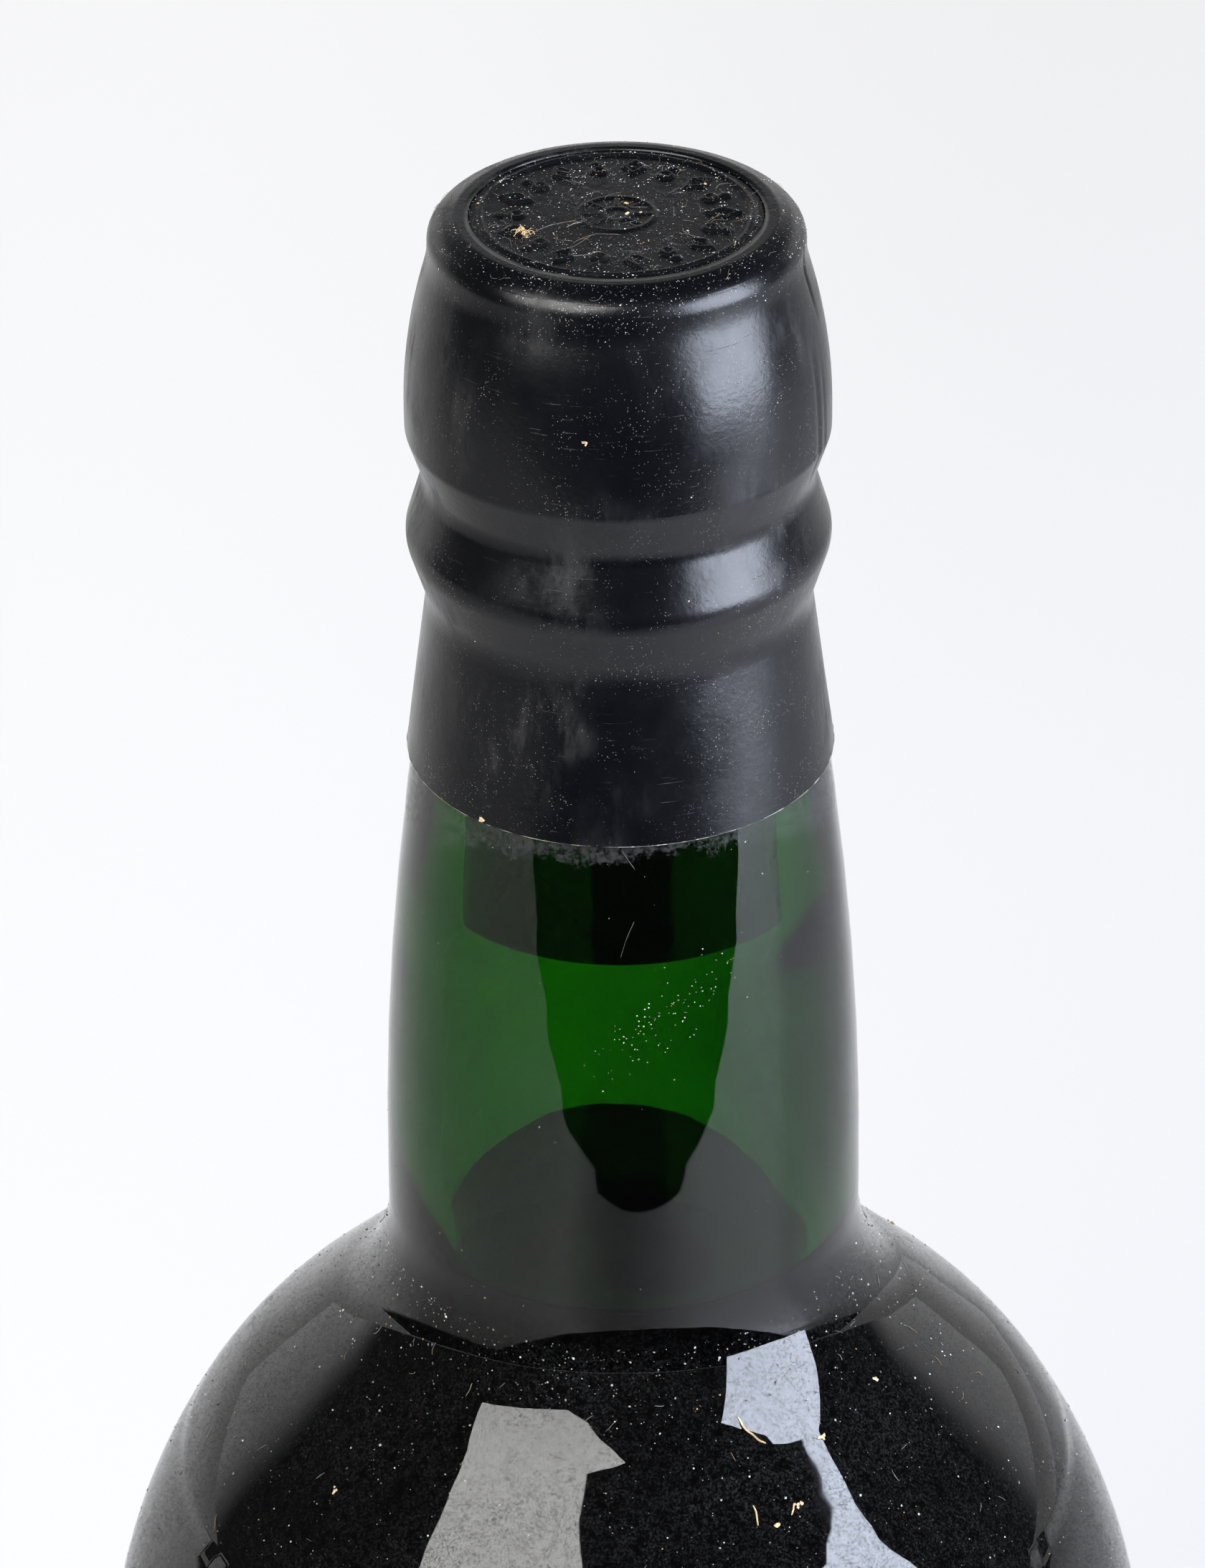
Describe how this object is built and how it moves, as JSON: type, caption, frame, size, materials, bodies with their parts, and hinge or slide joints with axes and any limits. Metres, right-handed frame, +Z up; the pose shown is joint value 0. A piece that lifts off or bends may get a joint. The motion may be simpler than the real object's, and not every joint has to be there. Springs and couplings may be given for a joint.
{
  "type": "wine bottle",
  "caption": "Full, corked wine bottle of dark green glass with a bulbous neck, round shoulder and black shrunk capsule.",
  "frame": {"origin": "middle of the base, on the plane that the bottle stands on", "axes": "+Z up the bottle's axis, from the base to the cork"},
  "size_m": [0.08, 0.08, 0.2911],
  "materials": {
    "green_glass": "gloss",
    "wine": "gloss",
    "cork": "matte",
    "capsule_plastic": "satin",
    "disc_plastic": "satin"
  },
  "bodies": {
    "root": {"bottle": "green_glass", "wine": "wine", "cork": "cork", "capsule": "capsule_plastic", "top_disc": "disc_plastic"}
  },
  "joints": []
}
